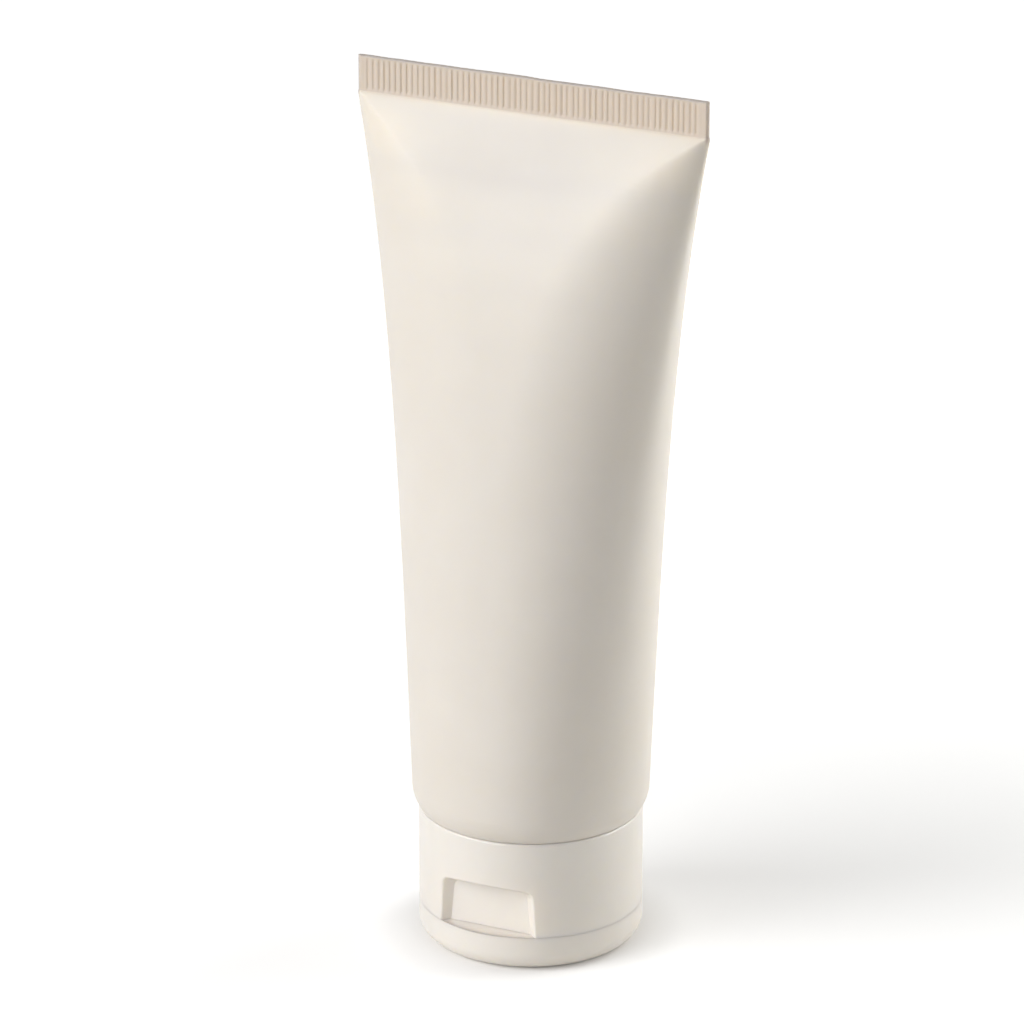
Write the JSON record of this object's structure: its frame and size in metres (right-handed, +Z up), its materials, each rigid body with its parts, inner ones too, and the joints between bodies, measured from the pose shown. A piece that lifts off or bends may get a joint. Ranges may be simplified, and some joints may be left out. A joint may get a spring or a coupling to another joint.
{
  "type": "flip-top squeeze tube of balm",
  "caption": "Soft plastic squeeze tube, round at the shoulder and pressed flat into a ribbed crimped seal, standing on a hinged flip-top cap with a thumb recess.",
  "frame": {"origin": "centre of the lid's flat end, on the surface that the tube stands on", "axes": "+Z up from the lid to the crimped seal, X along the seal, -Y towards the thumb recess, +Y towards the hinge"},
  "size_m": [0.0628, 0.04, 0.1499],
  "materials": {
    "sleeve_plastic": "soft satin cream polyethylene, slightly tanner at the crimp",
    "head_plastic": "natural moulded polyethylene",
    "cap_plastic": "satin cream polypropylene",
    "balm": "smooth soft wax ointment"
  },
  "bodies": {
    "tube": {"tube_sleeve": "sleeve_plastic", "tube_head": "head_plastic", "balm_fill": "balm", "cap_base": "cap_plastic", "living_hinge": "cap_plastic"},
    "lid": {"cap_lid": "cap_plastic"}
  },
  "joints": [
    {"name": "lid_hinge", "type": "hinge", "parent": "tube", "child": "lid", "pos_m": [0, 0.019, 0.00622], "axis": [1, 0, 0], "range_deg": [0, 170], "deforming": ["living_hinge"]}
  ]
}
